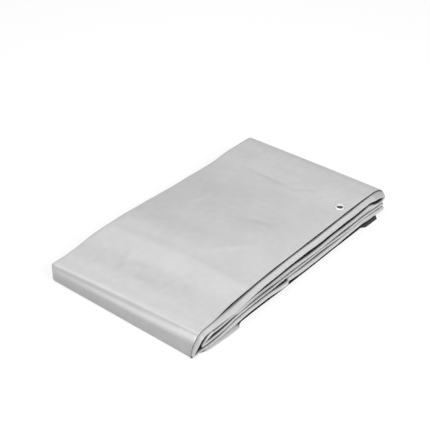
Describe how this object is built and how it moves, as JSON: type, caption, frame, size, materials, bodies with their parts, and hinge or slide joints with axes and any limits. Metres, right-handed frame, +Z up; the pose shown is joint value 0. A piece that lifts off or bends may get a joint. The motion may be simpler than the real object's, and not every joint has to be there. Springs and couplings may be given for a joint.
{
  "type": "folded tarp",
  "caption": "Coated tarpaulin folded lengthwise and crosswise into a flat rectangular pack, with a metal eyelet in the hem for tying it down.",
  "frame": {"origin": "centre of the pack's footprint, on the surface it lies on", "axes": "+X along the pack, away from the rounded end bend, +Y across it from the open edges to the closed folds, +Z up"},
  "size_m": [0.5206, 0.3048, 0.0484],
  "materials": {
    "coated_cloth": "light grey woven cloth with a satin plastic coating",
    "eyelet_metal": "bright pressed metal"
  },
  "bodies": {
    "root": {"tarp_cloth": "coated_cloth", "hem_strip": "coated_cloth", "eyelet": "eyelet_metal"}
  },
  "joints": []
}
